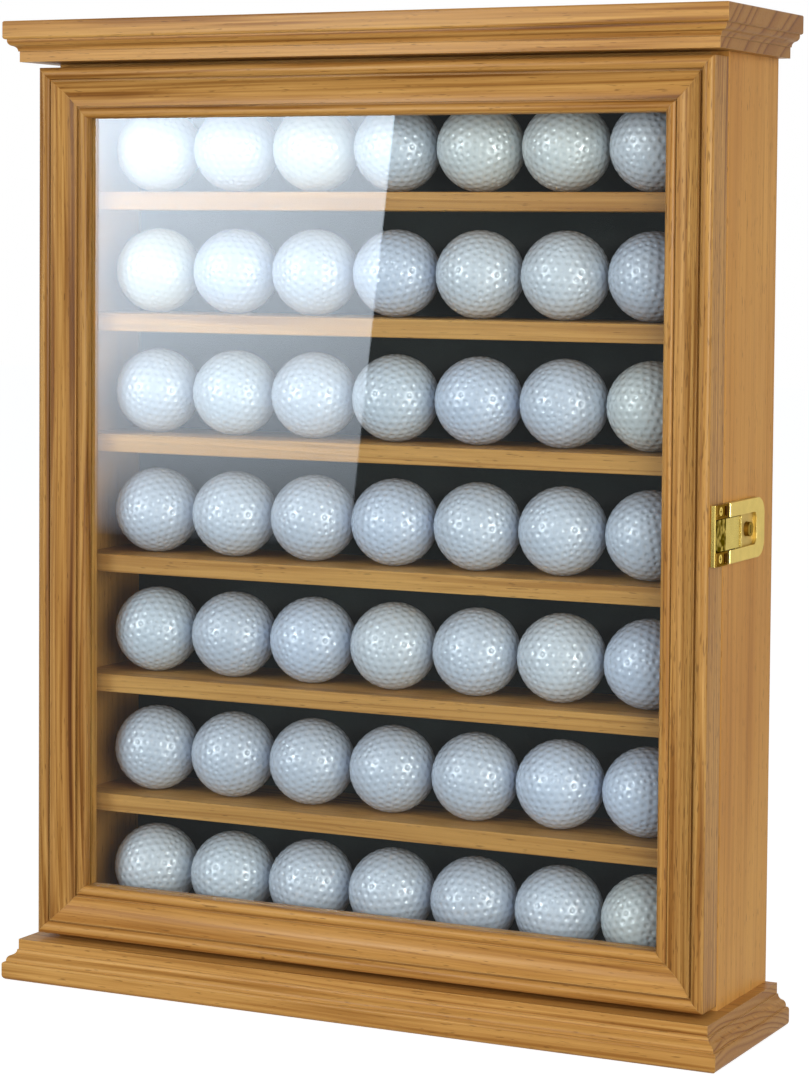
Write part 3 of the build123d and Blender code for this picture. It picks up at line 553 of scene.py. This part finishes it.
def brass(name, colour, smoothest, roughest, zone=None, painted_glint_share=0.0):
    """Brass with fine rubbed marks between its smoothest and roughest, and tarnish in its hollows.

    zone is an axis, the place along it below which the finish differs, and its colour and roughness;
    the last argument is how much bright brass is painted in patches through the zone's colour, as painted
    reflection.
    """
    material, tree, output = new_material(name)
    place = add_node(tree, "TexCoord")
    rubbed = add_node(tree, "Mapping", {"Vector": place.outputs["Object"], "Scale": RUB_STRETCH})
    marks = add_node(tree, "TexNoise", {"Vector": rubbed.outputs[0], "Scale": 1 / SATIN_GRIT,
                                        "Detail": 3.0})
    roughness = add_node(tree, "MapRange", {"Value": marks.outputs["Fac"], "From Min": 0.3,
                                            "From Max": 0.7, "To Min": smoothest, "To Max": roughest})
    cloud = add_node(tree, "TexNoise", {"Vector": place.outputs["Object"], "Scale": 1 / TARNISH_PATCH,
                                        "Detail": 3.0})
    cloud_tone = add_node(tree, "MapRange", {"Value": cloud.outputs["Fac"], "From Min": 0.3,
                                             "From Max": 0.7, "To Min": CLOUDING["darkest"],
                                             "To Max": CLOUDING["palest"]})
    hollow = add_node(tree, "AmbientOcclusion", {"Distance": FITTING_HOLLOW}, samples=6)
    dull = add_node(tree, "MapRange", {"Value": hollow.outputs["AO"], "From Min": 0.35, "From Max": 0.85,
                                       "To Min": TARNISH_IN_HOLLOWS, "To Max": 0.0})
    metal = linear(colour)
    if zone:
        axis, edge, zone_colour, zone_roughness = zone
        # painted reflection: bright brass painted in patches through the zone's colour
        bare = add_node(tree, "TexNoise", {"Vector": place.outputs["Object"], "Scale": 1 / GLINT_PATCH,
                                           "Detail": 1.0})
        bare = add_node(tree, "MapRange", {"Value": bare.outputs["Fac"], "From Min": 0.4, "From Max": 0.7,
                                           "To Max": painted_glint_share})
        zone_metal = add_node(tree, "Mix", {0: bare.outputs[0], 6: linear(zone_colour),
                                            7: linear(BRASS["polished"])}, data_type="RGBA")
        parts = add_node(tree, "SeparateXYZ", {"Vector": place.outputs["Object"]})
        inside = add_node(tree, "MapRange", {"Value": parts.outputs[axis], "From Min": edge - ZONE_BLEND,
                                             "From Max": edge, "To Min": 1.0, "To Max": 0.0})
        metal = add_node(tree, "Mix", {0: inside.outputs[0], 6: metal, 7: zone_metal.outputs[2]},
                         data_type="RGBA").outputs[2]
        roughness = add_node(tree, "Mix", {0: inside.outputs[0], 2: roughness.outputs[0],
                                           3: zone_roughness}, data_type="FLOAT")
    dulled = add_node(tree, "Mix", {0: dull.outputs[0], 6: metal, 7: linear(BRASS["tarnish"])},
                      data_type="RGBA")
    clouded = add_node(tree, "VectorMath", {0: dulled.outputs[2], "Scale": cloud_tone.outputs[0]},
                       operation="SCALE")
    eased = add_node(tree, "Bevel", {"Radius": FITTING_EDGE}, samples=4)
    relief = add_node(tree, "Bump", {"Height": marks.outputs["Fac"], "Strength": 0.06,
                                     "Distance": RUB_RELIEF, "Normal": eased.outputs[0]})
    shader = add_node(tree, "BsdfPrincipled", {"Base Color": clouded.outputs[0], "Metallic": 1.0,
                                               "Roughness": roughness.outputs[0],
                                               "Specular Tint": linear(BRASS["edge"]),
                                               "Normal": relief.outputs[0]})
    tree.links.new(shader.outputs[0], output.inputs["Surface"])
    return material


RECESS_FLOOR_BELOW_FACE = 0.0018
NOSE_LENGTH = 0.0108
LIP_THICKNESS = 0.0014
recess_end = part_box("latch_plate")[1].x - RECESS_FLOOR_BELOW_FACE
nose_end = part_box("latch_flap")[0].y + NOSE_LENGTH
lip_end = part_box("latch_keeper")[0].y + LIP_THICKNESS

satin_plate = brass("satin_brass_plate", BRASS["satin"], smoothest=0.3, roughest=0.42,
                    zone=("X", recess_end, BRASS["recess"], 0.6))
# the flap's nose is painted dark with bright patches to stand for what it mirrors: painted reflection
satin_flap = brass("satin_brass_flap", BRASS["flap"], smoothest=0.24, roughest=0.34,
                   zone=("Y", nose_end, BRASS["nose"], 0.12), painted_glint_share=0.6)
# the keeper is painted dark to stand for the dark things it mirrors: painted reflection; its lip is bright
# polished brass
painted_dark_keeper = brass("brass_keeper_painted_reflection", BRASS["keeper"], smoothest=0.08, roughest=0.2,
                      zone=("Y", lip_end, BRASS["polished"], 0.12))
# the key plug is painted darker to stand for the dark things it mirrors: painted reflection
painted_dark_plug = brass("brass_plug_painted_reflection", BRASS["plug"], smoothest=0.08, roughest=0.16)
satin = brass("satin_brass", BRASS["satin"], smoothest=0.26, roughest=0.36)
polished = brass("polished_brass", BRASS["polished"], smoothest=0.06, roughest=0.14)
finish_node("latch_plate", satin_plate)
finish_node("latch_flap", satin_flap)
for name in ("hinge_case_leaves", "hinge_door_leaves", "hinge_pins", "hinge_case_screws",
             "hinge_door_screws"):
    finish_node(name, satin)
finish_node("latch_keeper", painted_dark_keeper)
finish_node("lock_cylinder", painted_dark_plug)
for name in ("keeper_screws", "latch_plate_screws", "latch_flap_pin"):
    finish_node(name, polished)

# ---------------------------------------------------------------- studio
# A white sweep, a soft box on the left with a face that the glass shows, two silks, two bright
# bulbs that only glint in the balls and the brass, and two dim cards that keep the rest of the
# glass clear.

STUDIO = {"floor": "#BCBCBC", "white": "#FFFFFF", "fill": "#F4F8FF", "dim card": "#E6EDF2",
          "box face": "#E5F1FF", "cool silk": "#F2F7FF", "warm silk": "#FFFDF8", "bulb": "#FBFDFF"}
FLOOR_SIZE = 12.0
FLOOR_DROP = 0.0002
FLOOR_GLOW = 0.84
WORLD_FILL = 0.33
DIM_CARD = 0.22
CARD_PLACE = -2.3
BULB_SIZE = 0.26
BULB_STRENGTH = 110.0
CASE_MIDDLE = Vector((0, 0, 0.24))


def card(name, corners):
    """A flat stage card from its corners."""
    bm = bmesh.new()
    bm.faces.new([bm.verts.new(corner) for corner in corners])
    mesh = bpy.data.meshes.new(name)
    bm.to_mesh(mesh)
    bm.free()
    made = bpy.data.objects.new(name, mesh)
    bpy.context.scene.collection.objects.link(made)
    return made


def only_in_mirrors(made):
    """Hide a stage card from all but mirrors and what both faces of the pane mirror."""
    made.visible_camera = made.visible_diffuse = made.visible_shadow = made.visible_volume_scatter = False


def seen_by_eye(tree):
    """1 on rays from the eye, also by way of a mirror or through glass, and 0 on all others."""
    ray = add_node(tree, "LightPath")
    seen = add_node(tree, "Math", {0: ray.outputs["Is Camera Ray"], 1: ray.outputs["Is Glossy Ray"]},
                    operation="MAXIMUM")
    seen = add_node(tree, "Math", {0: seen.outputs[0], 1: ray.outputs["Is Transmission Ray"]},
                    operation="MAXIMUM")
    return seen.outputs[0]


# painted board, which the eye sees as white, with the shadow of the case on it
half = FLOOR_SIZE / 2
floor = card("studio_floor", [(x, y, -FLOOR_DROP)
                              for x, y in ((-half, -half), (half, -half), (half, half), (-half, half))])
floor_paint, tree, output = new_material("white_sweep")
seen = seen_by_eye(tree)
paint = add_node(tree, "BsdfDiffuse", {"Color": linear(STUDIO["floor"])})
lift = add_node(tree, "Math", {0: seen, 1: FLOOR_GLOW}, operation="MULTIPLY")
glow = add_node(tree, "Emission", {"Color": linear(STUDIO["white"]), "Strength": lift.outputs[0]})
both = add_node(tree, "AddShader", {0: paint.outputs[0], 1: glow.outputs[0]})
tree.links.new(both.outputs[0], output.inputs["Surface"])
floor.data.materials.append(floor_paint)

# grey card, evenly dim
flag_cloth, tree, output = new_material("dim_grey_card")
cloth = add_node(tree, "Emission", {"Color": linear(STUDIO["dim card"]), "Strength": DIM_CARD})
tree.links.new(cloth.outputs[0], output.inputs["Surface"])
for name, corners in (("front_flag", [(-3.2, CARD_PLACE, 0.0), (-0.7, CARD_PLACE, 0.0),
                                      (-0.7, CARD_PLACE, 1.5), (-3.2, CARD_PLACE, 1.5)]),
                      ("floor_flag", [(-2.6, CARD_PLACE, 0.001), (0.2, CARD_PLACE, 0.001),
                                      (0.2, -0.06, 0.001), (-2.6, -0.06, 0.001)])):
    flag = card(name, corners)
    flag.data.materials.append(flag_cloth)
    only_in_mirrors(flag)

# the cloth face of the left soft box as the glass shows it, bright at its top left and falling off
BOX_PLACE = -1.7
BOX_BOTTOM = 0.035
BOX_TOP = 0.62
BOX_LEFT = -1.5
BOX_RIGHT_BOTTOM = -0.865
BOX_RIGHT_TOP = -0.80
BOX_PEAK = 10.0
BOX_RISE = [(0.0, 0.3), (0.035, 1.3), (0.15, 2.9), (0.385, 5.8), (0.625, 7.8), (0.79, BOX_PEAK)]
BRIGHT_SIDE = -1.2
WEAK_SIDE = -0.85
BRIGHT_SHARE = 1.25
WEAK_SHARE = 0.8

box_face = card("soft_box_face", [(BOX_LEFT, BOX_PLACE, BOX_BOTTOM),
                                  (BOX_RIGHT_BOTTOM, BOX_PLACE, BOX_BOTTOM),
                                  (BOX_RIGHT_TOP, BOX_PLACE, BOX_TOP), (BOX_LEFT, BOX_PLACE, BOX_TOP)])
box_cloth, tree, output = new_material("soft_box_cloth")
place = add_node(tree, "TexCoord")
parts = add_node(tree, "SeparateXYZ", {"Vector": place.outputs["Object"]})
rise = add_node(tree, "MapRange", {"Value": parts.outputs["Z"], "From Min": BOX_BOTTOM,
                                   "From Max": BOX_TOP})
fall = add_node(tree, "ValToRGB", {"Fac": rise.outputs[0]})
set_ramp(fall, [(place_up, (value / BOX_PEAK,) * 3 + (1.0,)) for place_up, value in BOX_RISE])
aside = add_node(tree, "MapRange", {"Value": parts.outputs["X"], "From Min": BRIGHT_SIDE,
                                    "From Max": WEAK_SIDE, "To Min": BOX_PEAK * BRIGHT_SHARE,
                                    "To Max": BOX_PEAK * WEAK_SHARE})
power = add_node(tree, "Math", {0: fall.outputs[0], 1: aside.outputs[0]}, operation="MULTIPLY")
glow = add_node(tree, "Emission", {"Color": linear(STUDIO["box face"]), "Strength": power.outputs[0]})
tree.links.new(glow.outputs[0], output.inputs["Surface"])
box_face.data.materials.append(box_cloth)
only_in_mirrors(box_face)

# white to the eye, and a weak cool fill on the case
world = bpy.data.worlds.new("studio_world")
bpy.context.scene.world = world
world.use_nodes = True
tree = world.node_tree
tree.nodes.clear()
seen = seen_by_eye(tree)
fill = add_node(tree, "Background", {"Color": linear(STUDIO["fill"]), "Strength": WORLD_FILL})
white = add_node(tree, "Background", {"Color": linear(STUDIO["white"]), "Strength": 1.0})
sky = add_node(tree, "MixShader", {0: seen, 1: fill.outputs[0], 2: white.outputs[0]})
add_node(tree, "OutputWorld", {"Surface": sky.outputs[0]})


def facing_case(spot):
    """The turn that faces the middle of the case from a spot."""
    return (CASE_MIDDLE - Vector(spot)).to_track_quat("-Z", "Y")


def soft_box(name, spot, width, height, watts, colour):
    """An area lamp aimed at the middle of the case, which neither the eye nor a mirror sees."""
    lamp = bpy.data.lights.new(name, "AREA")
    lamp.shape = "RECTANGLE"
    lamp.size, lamp.size_y = width, height
    lamp.energy = watts
    lamp.color = linear(colour)[:3]
    box = bpy.data.objects.new(name, lamp)
    box.matrix_world = Matrix.Translation(Vector(spot)) @ facing_case(spot).to_matrix().to_4x4()
    bpy.context.scene.collection.objects.link(box)
    box.visible_camera = box.visible_glossy = box.visible_transmission = False


soft_box("left_soft_box", (-1.05, BOX_PLACE, 0.26), width=0.6, height=0.6, watts=13,
         colour=STUDIO["cool silk"])
soft_box("upper_silk", (-0.5, BOX_PLACE, 0.7), width=0.8, height=0.6, watts=5.5,
         colour=STUDIO["cool silk"])
soft_box("right_silk", (1.3, -1.0, 0.48), width=1.1, height=1.1, watts=17, colour=STUDIO["warm silk"])

# glowing bulbs, small and hard, for the glints
bulb_glow, tree, output = new_material("bare_bulb_glow")
glow = add_node(tree, "Emission", {"Color": linear(STUDIO["bulb"]), "Strength": BULB_STRENGTH})
tree.links.new(glow.outputs[0], output.inputs["Surface"])
for name, spot in (("left_bulb", (-0.84, BOX_PLACE, 0.72)), ("right_bulb", (1.42, -0.78, 0.36))):
    corners = [Vector(spot) + facing_case(spot) @ Vector((x, y, 0)) * BULB_SIZE / 2
               for x, y in ((-1, -1), (1, -1), (1, 1), (-1, 1))]
    bulb = card(name, corners)
    bulb.data.materials.append(bulb_glow)
    only_in_mirrors(bulb)

# ---------------------------------------------------------------- camera
# Where the photograph was taken from, worked out from the corners of the case.

camera_data = bpy.data.cameras.new("camera")
camera = bpy.data.objects.new("camera", camera_data)
camera.location = (0.67351, -1.3599, 0.37571)
camera.rotation_euler = [math.radians(a) for a in (86.91371, -0.42040, 26.57393)]
camera_data.sensor_fit = "HORIZONTAL"
camera_data.sensor_width = 36.0
camera_data.lens = 139.7503
camera_data.shift_x = 0.03242
camera_data.shift_y = -0.17107
camera_data.clip_start = 0.05
camera_data.clip_end = 50.0
bpy.context.scene.collection.objects.link(camera)
bpy.context.scene.camera = camera
bpy.context.scene.view_settings.view_transform = "Standard"
